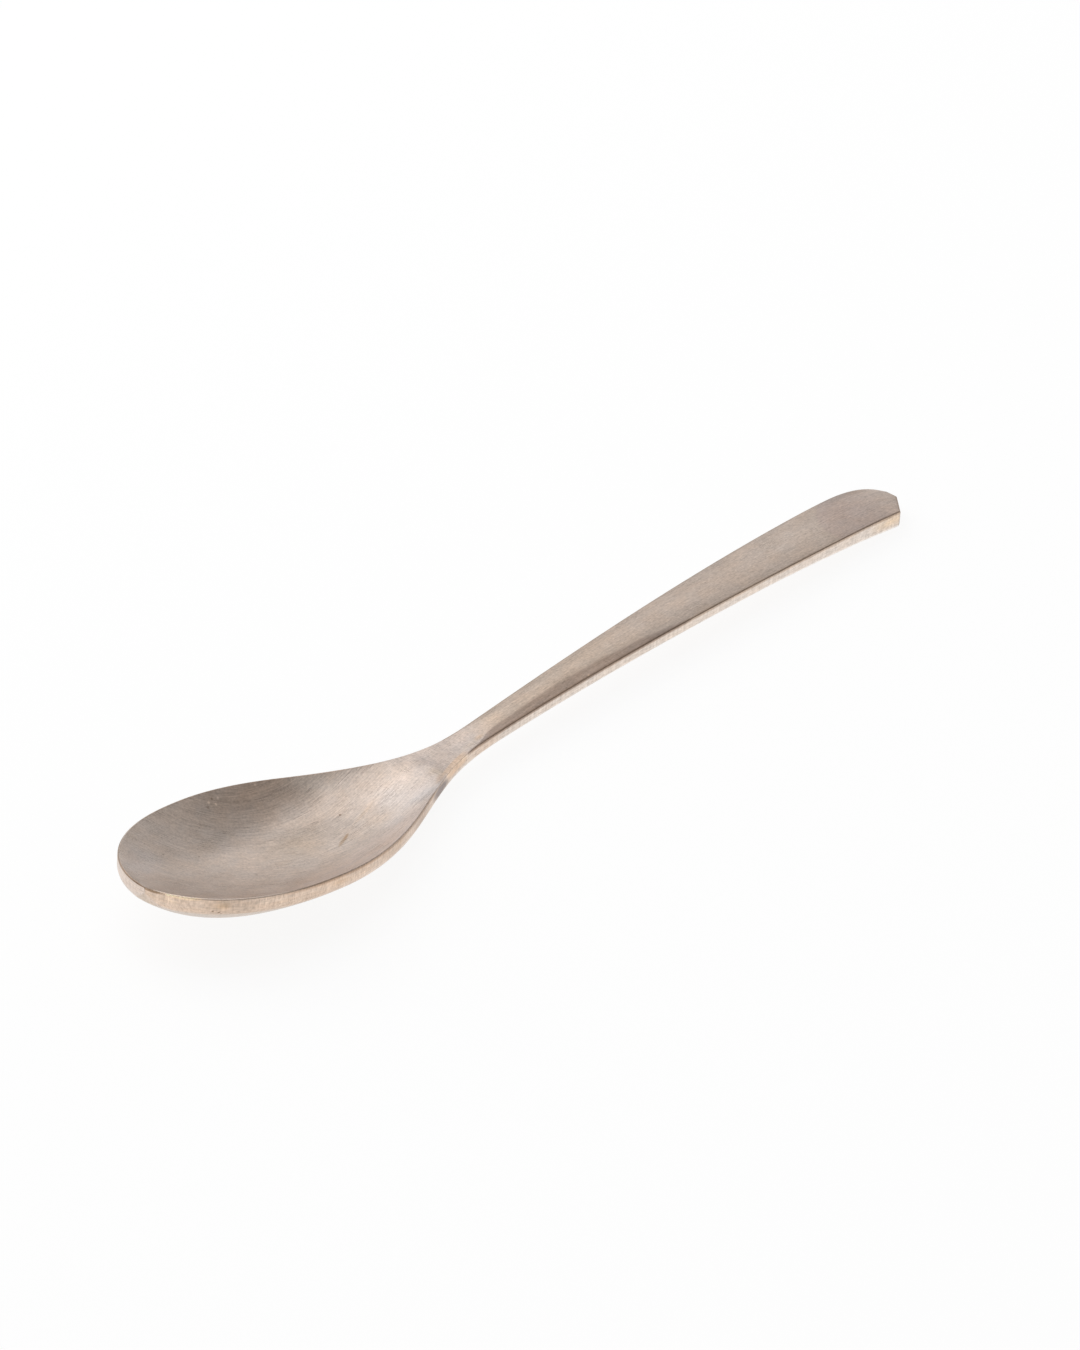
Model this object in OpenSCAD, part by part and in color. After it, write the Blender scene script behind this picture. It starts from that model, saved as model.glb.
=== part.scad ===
// Tablespoon forged from one thick piece of metal. An egg-shaped bowl with a squared edge runs through a
// narrow neck into a flat, slightly crowned handle, which grows wider and thicker toward a rounded end.
// It lies as it rests on a table: on the underside of the bowl and on the end of the handle.
// Places along the spoon are measured from the bowl's tip, along the level rim.

/* [Whole spoon] */
// length, from the tip of the bowl to the end of the handle
spoon_len = 200; // [170:1:240]

/* [Bowl outline] */
// greatest width of the bowl
bowl_w = 40.1; // [32:0.1:52]
// place of the greatest width
widest_at = 29; // [22:0.5:36]
// place where the bowl's sides have run right into the handle
bowl_run = 88.5; // [80:0.1:96]
// how long the front keeps its width, 2 being an ellipse
front_hold = 2.49; // [2:0.01:3]
// how bluntly the front closes at the tip, 2 being round
front_close = 1.77; // [1.6:0.01:2.4]
// how long the back keeps its width before it draws in
back_hold = 1.96; // [1.6:0.02:2.6]
// how quickly the back draws in
back_close = 2.1; // [1.6:0.05:2.6]
// how tightly the bowl's side turns into the neck
neck_turn = 1.8; // [1.4:0.1:3]

/* [Bowl hollow] */
// depth of the hollow under the rim
bowl_depth = 7.55; // [5:0.05:10]
// place of the deepest point
deepest_at = 33; // [22:0.5:40]
// place where the hollow ends in the neck
hollow_run = 72; // [66:0.5:84]
// how full the hollow is from the tip to the deepest point, 2 being an even curve
hollow_front = 2.05; // [1.8:0.05:3]
// how full the hollow is from side to side, 2 being an even curve
hollow_side = 2.4; // [1.8:0.05:2.8]
// metal between the hollow's deepest point and the lowest point of the belly
floor_t = 1.8; // [1.5:0.05:3]

/* [Belly] */
// place of the lowest point of the belly, the underside's bulge
belly_at = 25; // [18:0.5:30]
// place where the belly ends under the neck
belly_run = 87; // [80:0.5:100]
// how full the belly is from the tip to its lowest point, 2 being an even curve
belly_front = 2.95; // [2.2:0.05:3.4]

/* [Handle] */
// width of the neck
neck_w = 5.7; // [4.6:0.1:9]
// place from which the handle grows wider
taper_from = 59.5; // [50:0.5:90]
// width of the handle near its end
end_w = 13.5; // [9:0.1:20]
// rise of the crown on top of the handle
crown = 0.4; // [0.1:0.05:0.8]
// length over which the handle's end is rounded
end_round = 12; // [8:0.5:16]
// how bluntly the end closes, 2 being an ellipse
end_close = 2.33; // [2:0.01:3]
// shift of the end's middle to the left, seen from above with the handle's end ahead
end_shift = 0.85; // [0:0.05:1.5]
// length over which the right corner is cut off straight
end_cut = 5.1; // [3:0.1:6]

/* [Side profile] */
// place where the rim stops being level and sweeps up into the neck
sweep_from = 49.3; // [40:0.1:60]
// place where the sweep ends and the handle begins to arch
sweep_to = 79.5; // [72:0.1:92]
// radius of the upward sweep
sweep_r = 127; // [105:1:220]
// radius of the handle's arch
arch_r = 892; // [600:2:1600]
// drop of the rim at the tip
tip_drop = 1.75; // [0:0.05:3]
// extra drop of the last stretch of the handle
end_drop = 0.55; // [0:0.05:1.5]

/* [Thickness] */
// height of the edge around the bowl
rim_t = 2.65; // [2:0.05:3.6]
// thickness of the handle
handle_t = 2.25; // [1.6:0.05:3.4]
// thickness at the end of the handle
end_t = 3.6; // [2:0.05:4.5]
// place from which the handle grows thicker
thicken_from = 157; // [120:0.5:170]
// rounding of the upper arris
arris_r = 0.25; // [0.15:0.05:0.4]
// rounding between the bowl's edge and its underside
belly_r = 1.8; // [0.8:0.1:2]
// rounding of the handle's lower arris
under_r = 0.65; // [0.3:0.05:0.8]

/* [Hidden] */

belly_depth = bowl_depth + floor_t - rim_t;
end_stretch = 20;          // length of the stretch that end_drop bends
thin_from = 40;            // from here the edge eases to the handle's thickness and rounding
thin_run = 40;
crown_from = 76;           // the crown rises from here, over crown_run
crown_run = 20;
crown_side = 2.6;          // how flat it is in the middle, 2 being an even curve
crown_ref = 6;             // half width at which the crown has its full rise
hollow_back = 1.4;         // how the hollow runs out towards the neck, and the belly
belly_back = 1.5;
belly_side = 2;            // how full the belly is from side to side
thicken_pow = 1.5;         // how the handle's thickness grows
cut = min(end_cut, end_w / 2);
front_steps = 18;          // sections from the tip to the widest place
body_steps = 54;           // sections from there to the rounded end
round_steps = 5;           // sections from there to the cut corner
end_steps = 10;            // sections beside the cut
across = 14;               // strips across the top, and across the underside
first_x = 0.03;            // the first section lies this far from the tip, and the last from the end
most_inset = 0.6;          // an arris takes no more than this share of the half width
steepest = 60;             // limit for the slope of the underside at the edge, in degrees
metal = [0.72, 0.65, 0.57];

function limit(v, low, high) = min(max(v, low), high);
function share(x, from, to) = limit((x - from) / (to - from), 0, 1);
function ease(v) = v * v * (3 - 2 * v);

// Half width of the handle: an eased taper from the neck to the end
function handle_half(x) =
    (neck_w + (end_w - neck_w) * ease(share(x, taper_from, spoon_len))) / 2;

// Half width of the bowl's egg: a superellipse in front, and a bell curve behind the widest place
function egg_front(x) =
    bowl_w / 2 * pow(max(1 - pow(1 - x / widest_at, front_hold), 0), 1 / front_close);
function egg_back(v) = bowl_w / 2 * pow(1 - pow(v, back_hold), back_close);

// Egg and handle joined by a rounded corner, the power mean of both half widths
function body_half(x) =
    let (v = share(x, widest_at, bowl_run),
         h = handle_half(x) * (1 - pow(1 - v, 2)))
    x < widest_at ? egg_front(x)
    : pow(pow(egg_back(v), neck_turn) + pow(h, neck_turn), 1 / neck_turn);

// The middle line, which bends to the left at the end
function mid_y(x) = end_shift * pow(share(x, spoon_len - end_round, spoon_len), 2);

// Share of the width that is left where the end closes over its last stretch, a superellipse
function rounded(x, run) = pow(1 - pow(share(x, spoon_len - run, spoon_len), end_close), 1 / end_close);

// Half width on one side of the middle line, +1 the left side and -1 the right. The right side runs on straight,
// and a line at 45 degrees cuts its corner off
function half_width(x, side) =
    let (straight = body_half(x) + mid_y(x),
         past_cut = x - (spoon_len - cut))
    side > 0 ? body_half(x) * rounded(x, end_round)
    : past_cut < 0 ? straight
    : min(straight * rounded(x, cut), end_w / 2 + mid_y(x) - past_cut);

// Distance of the outline from the axis
function outline(x, side) = half_width(x, side) + side * mid_y(x);

// Height of the rim and of the handle's upper edges: level, an upward sweep, and the long arch
function edge_z(x) =
    let (a = limit(x - sweep_from, 0, sweep_to - sweep_from),
         b = max(x - sweep_to, 0),
         rise = (sweep_to - sweep_from) / sweep_r)
    a * a / (2 * sweep_r) + rise * b - b * b / (2 * arch_r)
    - tip_drop * pow(1 - share(x, 0, sweep_from), 2)
    - end_drop * pow(share(x, spoon_len - end_stretch, spoon_len), 2);

// Share of the full depth along the spoon, from the tip to the lowest point and from there to the end at run
function along(x, low_at, front, run, back) =
    x < low_at ? 1 - pow(1 - x / low_at, front) : pow(1 - pow(share(x, low_at, run), 2), back);

// Depths of the hollow and of the belly, as shares of their full depths, at the share s of the half width
function hollow(x, s) =
    along(x, deepest_at, hollow_front, hollow_run, hollow_back) * (1 - pow(abs(s), hollow_side));
function belly(x, s) =
    along(x, belly_at, belly_front, belly_run, belly_back) * (1 - pow(abs(s), belly_side));

// Thickness of the edge, and the rounding of its lower arris
function edge_t(x) =
    rim_t + (handle_t - rim_t) * ease(share(x, thin_from, thin_from + thin_run))
    + (end_t - handle_t) * pow(share(x, thicken_from, spoon_len), thicken_pow);
function low_r(x) = belly_r + (under_r - belly_r) * ease(share(x, thin_from, thin_from + thin_run));

// Upper surface, with the hollow and the handle's crown
function top_z(x, s, half) =
    edge_z(x) - bowl_depth * hollow(x, s)
    + crown * share(x, crown_from, crown_from + crown_run) * (1 - pow(abs(s), crown_side)) * half / crown_ref;

// The lower arris goes round the tip and the end too: this lifts the underside close to them
function lift(x) =
    let (r = low_r(x),
         to_end = min(x, spoon_len - x),
         tilt = x < spoon_len / 2 ? atan(belly_depth * belly_front / belly_at) : 0)
    to_end < r * (1 - sin(tilt)) ? r * (cos(tilt) - sqrt(1 - pow(1 - to_end / r, 2))) : 0;

// Underside, with the belly
function under_z(x, s) = edge_z(x) - edge_t(x) - belly_depth * belly(x, s) + lift(x);

// How far an arris of radius r reaches inward at a section, measured across the spoon
function inset(x, side, r) =
    let (step = 0.02,
         low = max(x - step, 0),
         high = min(x + step, spoon_len),
         slope = (outline(high, side) - outline(low, side)) / (high - low))
    min(r * sqrt(1 + slope * slope), most_inset * half_width(x, side));

// One side of a section: [half width, where the top begins, how far the lower rounding reaches in,
// slope of the underside where that rounding meets it, where the underside begins]
function side_sizes(x, side) =
    let (half = half_width(x, side),
         reach = inset(x, side, low_r(x)),
         tilt = min(atan(belly_depth * belly_side * belly(x, 0) / half), steepest))
    [half, half - inset(x, side, arris_r), reach, tilt, half - reach * (1 - sin(tilt))];

// Upper arris at the angle a, from 0 on top to 90 on the side
function arris_point(x, side, n, a) =
    [x, mid_y(x) + side * (n[0] - (n[0] - n[1]) * (1 - sin(a))), edge_z(x) - arris_r * (1 - cos(a))];

// Lower rounding at the share k, from 0 where it meets the underside to 1 on the side
function low_point(x, side, n, k) =
    let (a = n[3] + (90 - n[3]) * k,
         rise = low_r(x) * cos(n[3]) - lift(x),
         y = mid_y(x) + side * (n[0] - n[2] * (1 - sin(a))))
    [x, y, under_z(x, n[4] / n[0]) + rise * (1 - cos(a) / cos(n[3]))];

// One section: over the top from right to left, down the left edge, back below, and up the right edge
function section(x) =
    let (l = side_sizes(x, 1),
         r = side_sizes(x, -1))
    concat(
        [for (i = [0:across])
            let (s = 2 * i / across - 1)
            [x, mid_y(x) + s * (s > 0 ? l[1] : r[1]), top_z(x, s, l[0])]],
        [for (a = [45, 90]) arris_point(x, 1, l, a)],
        [for (k = [3, 2, 1]) low_point(x, 1, l, k / 3)],
        [for (i = [0:across])
            let (s = 1 - 2 * i / across,
                 n = s > 0 ? l : r)
            [x, mid_y(x) + s * n[4], under_z(x, s * n[4] / n[0])]],
        [for (k = [1, 2, 3]) low_point(x, -1, r, k / 3)],
        [for (a = [90, 45]) arris_point(x, -1, r, a)]);

// Places of the sections, close together at the tip and at the end
places = concat(
    [for (i = [0:front_steps]) first_x + (widest_at - first_x) * pow(i / front_steps, 2)],
    [for (i = [1:body_steps]) widest_at + (spoon_len - end_round - widest_at) * i / body_steps],
    [for (i = [1:round_steps]) spoon_len - end_round + (end_round - cut) * i / round_steps],
    [for (i = [1:end_steps]) spoon_len - first_x - (cut - first_x) * pow(1 - i / end_steps, 2)]);

// Rest: the straight line that touches the underside near the bowl and near the handle's end
under_line = [for (x = places) [x, under_z(x, 0)]];
bowl_line = [for (p = under_line) if (p.x < spoon_len / 2) p];
end_line = [for (p = under_line) if (p.x > spoon_len / 2) p];
function lowest(line, m) = min([for (p = line) p.y - m * p.x]);
function rest_slope(low, high, n) =
    let (m = (low + high) / 2)
    n == 0 ? m
    : lowest(end_line, m) > lowest(bowl_line, m) ? rest_slope(m, high, n - 1)
    : rest_slope(low, m, n - 1);
rest_angle = atan(rest_slope(-0.5, 1, 40));
function turned(p) =
    [p.x * cos(rest_angle) + p.z * sin(rest_angle), p.y, p.z * cos(rest_angle) - p.x * sin(rest_angle)];

spoon_turned = [for (x = places) for (p = section(x)) turned(p)];
floor_z = min([for (p = spoon_turned) p.z]);
mid_x = (min([for (p = spoon_turned) p.x]) + max([for (p = spoon_turned) p.x])) / 2;
spoon_points = [for (p = spoon_turned) [p.x - mid_x, p.y, p.z - floor_z]];
ring = len(section(widest_at));
last = len(places) - 1;

spoon();

// The spoon, one solid lofted through its sections
module spoon() {
    color(metal)
    polyhedron(
        points = spoon_points,
        faces = concat(
            [[for (j = [0:ring - 1]) ring - 1 - j]],
            [[for (j = [0:ring - 1]) last * ring + j]],
            [for (i = [0:last - 1]) for (j = [0:ring - 1])
                [i * ring + j, i * ring + (j + 1) % ring, (i + 1) * ring + j]],
            [for (i = [0:last - 1]) for (j = [0:ring - 1])
                [i * ring + (j + 1) % ring, (i + 1) * ring + (j + 1) % ring, (i + 1) * ring + j]]),
        convexity = 6);
}
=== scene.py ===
# A champagne-toned brushed tablespoon on a white table. Metres, +X runs toward the handle's end, +Z is up.
import math
import bpy
import numpy as np
from mathutils import Matrix, Vector


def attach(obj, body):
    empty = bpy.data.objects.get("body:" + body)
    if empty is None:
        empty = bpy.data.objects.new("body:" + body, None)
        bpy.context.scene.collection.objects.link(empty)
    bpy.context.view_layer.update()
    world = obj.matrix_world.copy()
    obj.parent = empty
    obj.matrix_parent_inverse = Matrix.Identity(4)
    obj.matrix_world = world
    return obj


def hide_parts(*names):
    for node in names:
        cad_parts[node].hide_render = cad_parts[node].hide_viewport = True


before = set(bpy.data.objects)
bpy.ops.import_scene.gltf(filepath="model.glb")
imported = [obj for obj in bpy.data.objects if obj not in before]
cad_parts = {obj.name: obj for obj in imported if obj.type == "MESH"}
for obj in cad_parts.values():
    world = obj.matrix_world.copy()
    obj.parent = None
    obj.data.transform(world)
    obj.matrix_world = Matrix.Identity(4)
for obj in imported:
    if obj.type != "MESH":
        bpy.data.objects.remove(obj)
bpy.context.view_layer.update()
millimetre = 0.001
print("frame loaded")


# Shader maths

class Wire:
    # A socket with arithmetic. Each operator adds a Math node, and a number may stand on either side.
    def __init__(self, maker, socket):
        self.maker, self.socket = maker, socket

    def math(self, operation, *others):
        return self.maker.add("ShaderNodeMath", {"operation": operation}, dict(enumerate((self,) + others)))

    def __add__(self, other):
        return self.math("ADD", other)

    def __mul__(self, other):
        return self.math("MULTIPLY", other)

    def __sub__(self, other):
        return self.math("SUBTRACT", other)

    def __pow__(self, other):
        return self.math("POWER", other)

    def __neg__(self):
        return self.math("MULTIPLY", -1.0)

    def __rsub__(self, other):
        return (-self).math("ADD", other)

    __radd__ = __add__
    __rmul__ = __mul__

    # 0 at or below low, 1 at or above high, eased between; low may be the larger
    def step(self, low, high):
        return self.maker.add("ShaderNodeMapRange", {"interpolation_type": "SMOOTHSTEP"},
                              {"Value": self, "From Min": low, "From Max": high})

    # 0 up to the first place, 1 from the second to the third, 0 again from the fourth
    def between(self, first, second, third, fourth):
        return self.step(first, second) * self.step(fourth, third)

    # How far a noise is above or below its middle
    def swing(self):
        return self - 0.5


class Maker:
    # Adds nodes to one tree: settings are set first, then numbers, colours or wires go into the inputs
    def __init__(self, tree):
        self.tree = tree
        tree.nodes.clear()

    def add(self, kind, settings=None, inputs=None, out=0):
        node = self.tree.nodes.new(kind)
        for name, value in (settings or {}).items():
            setattr(node, name, value)
        for name, value in (inputs or {}).items():
            if isinstance(value, Wire):
                self.tree.links.new(value.socket, node.inputs[name])
            else:
                node.inputs[name].default_value = value
        return Wire(self, node.outputs[out]) if len(node.outputs) else None

    def vector(self, x, y, z=0.0):
        return self.add("ShaderNodeCombineXYZ", {}, {0: x, 1: y, 2: z})

    # The three parts of one of the mesh's attributes
    def attribute(self, name):
        whole = self.add("ShaderNodeAttribute", {"attribute_name": name}, out=1)
        split = self.add("ShaderNodeSeparateXYZ", {}, {0: whole})
        return [Wire(self, socket) for socket in split.socket.node.outputs]

    # Colour a where the share is 0, colour b where it is 1
    def mix(self, share, a, b, blend="MIX"):
        return self.add("ShaderNodeMix", {"data_type": "RGBA", "blend_type": blend},
                        {0: share, 6: a, 7: b}, out=2)

    # A tone as it is where the share is 0, and times the colour where it is 1
    def tint(self, share, tone, colour):
        return self.mix(share, tone, colour, "MULTIPLY")

    # A number that runs from a to b with the share
    def blend(self, share, a, b):
        return a + (b - a) * share

    # A colour made lighter or darker by a number
    def shade(self, tone, amount):
        return self.add("ShaderNodeVectorMath", {"operation": "SCALE"}, {0: tone, 3: amount})

    # 1 inside an ellipse of a plan, eased to 0 at its edge: centre, turn in degrees, half length and width.
    # The softness is the share of the way from the edge to the centre over which it is eased.
    def spot(self, plan, x, y, turn, long, wide, soft):
        place = {"Location": (x, y, 0), "Rotation": (0, 0, math.radians(turn)), "Scale": (long, wide, 1)}
        local = self.add("ShaderNodeMapping", {"vector_type": "TEXTURE"}, {"Vector": plan, **place})
        distance = self.add("ShaderNodeVectorMath", {"operation": "LENGTH"}, {0: local}, out=1)
        return distance.step(1, 1 - soft)

    # Noise from 0 to 1
    def noise(self, x, y, z, detail, roughness=0.5):
        place = self.vector(x, y, z)
        return self.add("ShaderNodeTexNoise", {"noise_dimensions": "3D"},
                        {"Vector": place, "Scale": 1.0, "Detail": detail, "Roughness": roughness})


# The spoon's surface

spoonShape = {
    # Sizes in mm. Places along the spoon run from the tip (0) to the handle's end.
    "length": 200.0,
    # Bowl in plan: width, widest place, where it ends, and the powers of its curve before and behind
    "bowlWidth": 40.1, "widestAt": 29.0, "bowlRun": 88.5,
    "frontHold": 2.49, "frontClose": 1.77, "backHold": 1.96, "backClose": 2.1,
    "neckTurn": 1.8,         # power of the mean that joins bowl and handle
    # Hollow: depth, deepest place, where it ends, and the powers before, behind and across
    "bowlDepth": 7.55, "deepestAt": 33.0, "hollowRun": 72.0,
    "hollowFront": 2.05, "hollowBack": 1.4, "hollowSide": 2.4,
    # Belly: wall under the hollow, lowest place, where it ends, and the powers before and behind
    "floor": 1.8, "bellyAt": 25.0, "bellyRun": 87.0, "bellyFront": 2.95, "bellyBack": 1.5,
    # Neck and handle in plan, and the crown on top, which is this high where the half width is crownHalf
    "neckWidth": 5.7, "taperFrom": 59.5, "endWidth": 13.5,
    "crown": 0.16, "crownHalf": 6.0, "crownRange": (76, 96),
    # The handle's end: length of its rounding, the rounding's power, shift to the left, length of the cut
    "endRound": 12.0, "endClose": 2.33, "endShift": 0.85, "endCut": 5.1,
    # Rim in side view: level, a sweep up, a long arch. The tip and the end drop a little.
    "sweepFrom": 49.3, "sweepTo": 79.5, "sweepRadius": 127.0, "archRadius": 892.0,
    "tipDrop": 1.75, "endDrop": 0.55, "endDropRun": 20.0,
    # Thickness of the edge: the rim's passes into the handle's over a range, and grows again toward the end
    "rim": 2.65, "handle": 2.25, "end": 3.6,
    "edgeRange": (40, 80), "thickenFrom": 157.0, "thickenPower": 1.5,
    # Upper arris: its radius, and the change of it over the neck
    "arris": 0.25, "neckArris": -0.12, "neckArrisIn": (64, 76), "neckArrisOut": (79, 87),
    # Lower rounding: the bowl's radius and the handle's, and what is added under the last stretch
    "bellyRound": 1.8, "underRound": 0.65, "endUnderRound": 0.9, "endUnderFrom": 7.0, "endUnderTo": 0.5,
    "roundLimit": 0.6,       # no arris or rounding reaches in by more than this share of the half width
    "steepest": 60.0,        # degrees, steepest tilt of the underside at its edge
    # Facets along the handle's upper edges: width, slope, and the ranges over which they start, widen,
    # narrow, fade and grow softer
    "facet": 2.3, "facetSlope": 0.17, "facetStart": (80, 85),
    "facetWiden": (82.5, 100), "facetWidenPower": 2.5,
    "facetNarrow": (108, 134), "facetNarrowBy": 0.6, "facetFade": (134, 170), "facetFadeBy": 0.4,
    "facetSoft": 0.25, "facetSoften": (92, 135), "facetSoftenBy": 2.2,
    # The wedge of painted shade beside the right facet: its width at places along the handle, and its softness
    "wedgeAt": [78.0, 82.0, 83.7, 85.0, 87.0, 93.0, 97.0, 104.0, 114.0, 124.0, 134.0, 137.0],
    "wedgeWidth": [0.1, 0.4, 0.8, 1.4, 1.63, 1.8, 2.1, 2.28, 2.26, 1.81, 0.5, 0.0],
    "wedgeSoft": 0.25, "wedgeSoften": (89, 100), "wedgeSoftenBy": 0.9,
    # Slope of the bowl's brush lines: the lean at the tip goes away over a range, and a slight slope stays
    "brushLean": -1.0, "brushTurn": (12, 62), "brushSlope": 0.06, "brushPlaces": 2001,
    # Rows along the spoon, up to its widest place, the end's rounding, the cut and the end, and the gap
    # before the first row and behind the last
    "frontRows": 90, "bodyRows": 260, "roundRows": 16, "endRows": 50, "endGap": 0.002,
    # Columns across it, how far they are crowded toward the edges, and the distance for measuring slopes
    "topColumns": 56, "underColumns": 44, "crowding": 0.7, "slopeReach": 0.02,
    # Columns on the edge: degrees round the arris, shares down the side, shares left of the lower rounding
    "arrisSteps": [15, 32, 50, 70, 90], "sideSteps": [0.25, 0.5, 0.75],
    "roundSteps": [1, 0.87, 0.74, 0.61, 0.48, 0.36, 0.24, 0.12],
}


# Share of the way from low to high, held to 0 and 1
def share(x, low, high):
    return np.clip((x - low) / (high - low), 0.0, 1.0)


# Eased share: 3 v squared minus 2 v cubed
def ease(v):
    return v * v * (3 - 2 * v)


# Handle: half of the neck's width, growing by the eased share of the way to the end
def handleHalf(x, c):
    grown = ease(share(x, c["taperFrom"], c["length"]))
    return (c["neckWidth"] + (c["endWidth"] - c["neckWidth"]) * grown) / 2


# Plan outline: a superellipse up to the widest place; behind it the power mean of a bell curve and the
# handle, which starts there from nothing as 1 - (1 - v)^2
def bodyHalf(x, c):
    half = c["bowlWidth"] / 2
    u = np.clip(1 - x / c["widestAt"], 0, 1)
    front = half * np.maximum(1 - u ** c["frontHold"], 0) ** (1 / c["frontClose"])
    v = share(x, c["widestAt"], c["bowlRun"])
    egg = half * (1 - v ** c["backHold"]) ** c["backClose"]
    stem = handleHalf(x, c) * (1 - (1 - v) ** 2)
    back = (egg ** c["neckTurn"] + stem ** c["neckTurn"]) ** (1 / c["neckTurn"])
    return np.where(x < c["widestAt"], front, back)


# Middle line: it bends to the left with the square of the share of the rounded end
def middleLine(x, c):
    return c["endShift"] * share(x, c["length"] - c["endRound"], c["length"]) ** 2


# Share of the width left at the closing end: superellipse (1 - v^n)^(1/n)
def rounded(x, run, c):
    return (1 - share(x, c["length"] - run, c["length"]) ** c["endClose"]) ** (1 / c["endClose"])


# Half width from the middle line, side +1 left and -1 right: rounded on the left, and on the right
# straight, then cut at 45 degrees
def halfWidth(x, side, c):
    body, line = bodyHalf(x, c), middleLine(x, c)
    past = x - (c["length"] - c["endCut"])
    corner = np.minimum((body + line) * rounded(x, c["endCut"], c), c["endWidth"] / 2 + line - past)
    return body * rounded(x, c["endRound"], c) if side > 0 else np.where(past < 0, body + line, corner)


# Rim height: level, a parabola of the sweep's radius, the slope it leaves, and the arch's parabola below
def edgeHeight(x, c):
    a = np.clip(x - c["sweepFrom"], 0, c["sweepTo"] - c["sweepFrom"])
    b = np.maximum(x - c["sweepTo"], 0)
    slope = (c["sweepTo"] - c["sweepFrom"]) / c["sweepRadius"]
    tip = c["tipDrop"] * (1 - share(x, 0, c["sweepFrom"])) ** 2
    end = c["endDrop"] * share(x, c["length"] - c["endDropRun"], c["length"]) ** 2
    return a ** 2 / (2 * c["sweepRadius"]) + slope * b - b ** 2 / (2 * c["archRadius"]) - tip - end


# Share of a depth along the spoon: 1 - (1 - x/low)^front up to its lowest place, and (1 - v^2)^back from
# there to the run's end
def along(x, low, front, run, back):
    before = 1 - np.clip(1 - x / low, 0, 1) ** front
    return np.where(x < low, before, (1 - share(x, low, run) ** 2) ** back)


# Share of the hollow's depth: the share along it times 1 - |s|^side
def hollow(x, s, c):
    depth = along(x, c["deepestAt"], c["hollowFront"], c["hollowRun"], c["hollowBack"])
    return depth * (1 - np.abs(s) ** c["hollowSide"])


# Share of the belly's depth: the share along it times 1 - s^2
def belly(x, s, c):
    return along(x, c["bellyAt"], c["bellyFront"], c["bellyRun"], c["bellyBack"]) * (1 - s ** 2)


# Depth of the belly below the edge: the hollow's depth plus the wall, less the rim's thickness
def bellyDepth(c):
    return c["bowlDepth"] + c["floor"] - c["rim"]


# Thickness of the edge: the rim's, eased to the handle's, plus a growing share toward the end
def edgeThickness(x, c):
    thin = c["rim"] + (c["handle"] - c["rim"]) * ease(share(x, *c["edgeRange"]))
    return thin + (c["end"] - c["handle"]) * share(x, c["thickenFrom"], c["length"]) ** c["thickenPower"]


# Radius between edge and underside, eased from the bowl's to the handle's, and larger again at the end
def lowRound(x, c):
    atEnd = ease(share(x, c["length"] - c["endUnderFrom"], c["length"] - c["endUnderTo"]))
    usual = c["bellyRound"] + (c["underRound"] - c["bellyRound"]) * ease(share(x, *c["edgeRange"]))
    return usual + c["endUnderRound"] * atEnd


# Radius of the upper arris, smaller at the neck
def arrisRound(x, c):
    overNeck = ease(share(x, *c["neckArrisIn"])) * (1 - ease(share(x, *c["neckArrisOut"])))
    return c["arris"] + c["neckArris"] * overNeck


# Rise above the handle's edges at the distance d: slope times (g(0) - g(d)), where g is the softened
# width - d. The width grows fast from the neck, then eases back along the handle.
def facetRise(x, d, c):
    grown = 1 - (1 - share(x, *c["facetWiden"])) ** c["facetWidenPower"]
    narrowed = 1 - c["facetNarrowBy"] * ease(share(x, *c["facetNarrow"]))
    width = c["facet"] * grown * narrowed * (1 - c["facetFadeBy"] * share(x, *c["facetFade"]))
    soft = c["facetSoft"] + c["facetSoftenBy"] * share(x, *c["facetSoften"])
    ramp = [0.5 * (u + np.sqrt(u ** 2 + soft ** 2)) for u in (width, width - d)]
    return c["facetSlope"] * share(x, *c["facetStart"]) * (ramp[0] - ramp[1])


# Top: rim height, less the hollow, plus a low crown and the facets
def topHeight(x, s, half, c):
    crown = c["crown"] * share(x, *c["crownRange"]) * (1 - s ** 2) * half / c["crownHalf"]
    facet = facetRise(x, (1 - np.abs(s)) * half, c)
    return edgeHeight(x, c) - c["bowlDepth"] * hollow(x, s, c) + crown + facet


# The lower rounding goes round the tip and the end: height of its circle above the underside
def lift(x, c):
    r = lowRound(x, c)
    toEnd = np.minimum(x, c["length"] - x)
    tilt = np.where(x < c["length"] / 2, math.atan(bellyDepth(c) * c["bellyFront"] / c["bellyAt"]), 0.0)
    circle = r * (np.cos(tilt) - np.sqrt(np.clip(1 - (1 - toEnd / r) ** 2, 0, 1)))
    return np.where(toEnd < r * (1 - np.sin(tilt)), circle, 0.0)


# Underside: rim height, less the edge, less the belly's share of its depth, plus the lift
def underHeight(x, s, c):
    return edgeHeight(x, c) - edgeThickness(x, c) - bellyDepth(c) * belly(x, s, c) + lift(x, c)


# Slope of the outline in plan, by a small difference
def outlineSlope(x, side, c):
    low, high = np.maximum(x - c["slopeReach"], 0), np.minimum(x + c["slopeReach"], c["length"])
    before, behind = [halfWidth(v, side, c) + side * middleLine(v, c) for v in (low, high)]
    return (behind - before) / (high - low)


# Width of a rounding of radius r across the spoon: r over the cosine of the outline's slope
def inset(x, side, r, c):
    reach = r * np.sqrt(1 + outlineSlope(x, side, c) ** 2)
    return np.minimum(reach, c["roundLimit"] * halfWidth(x, side, c))


# One side of all sections: half width, start of the top, reach and tilt of the lower rounding, and start
# of the underside
def sideSizes(x, side, c):
    half = halfWidth(x, side, c)
    reach = inset(x, side, lowRound(x, c), c)
    steepness = np.arctan2(2 * bellyDepth(c) * belly(x, 0 * x, c), half)
    tilt = np.minimum(steepness, math.radians(c["steepest"]))
    topHalf, lowHalf = half - inset(x, side, arrisRound(x, c), c), half - reach * (1 - np.sin(tilt))
    return [v[:, None] for v in (half, topHalf, reach, tilt, lowHalf)]


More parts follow.
